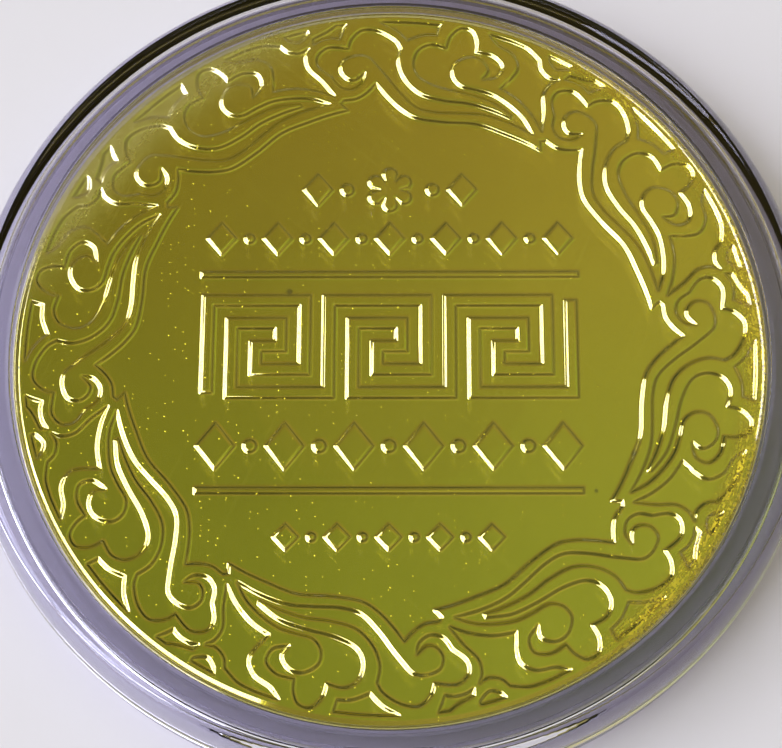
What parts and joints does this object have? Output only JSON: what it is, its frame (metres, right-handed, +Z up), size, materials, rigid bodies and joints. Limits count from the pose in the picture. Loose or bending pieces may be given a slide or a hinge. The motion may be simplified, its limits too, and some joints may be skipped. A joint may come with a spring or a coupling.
{
  "type": "sports finisher medal in capsule",
  "caption": "Round gilt struck medal with a raised cloud-scroll border, lying in a clear round snap capsule whose lid lifts off.",
  "frame": {"origin": "centre of the closed capsule's underside, on the surface it lies on", "axes": "+Z up out of the medal's face; +Y towards the top of the medal's design; +X to the right of the design"},
  "size_m": [0.0512, 0.0512, 0.006],
  "materials": {
    "gilt_metal": "mirror-polished gold plating with fine specks",
    "clear_plastic": "clear moulded plastic, glossy"
  },
  "bodies": {
    "base": {"capsule_base": "clear_plastic"},
    "medal": {"medal": "gilt_metal"},
    "lid": {"capsule_lid": "clear_plastic"}
  },
  "joints": [
    {"name": "medal_lift", "type": "slide", "parent": "base", "child": "medal", "axis": [0, 0, 1], "range_m": [0, 0.012]},
    {"name": "lid_lift", "type": "slide", "parent": "medal", "child": "lid", "axis": [0, 0, 1], "range_m": [0, 0.03]}
  ]
}
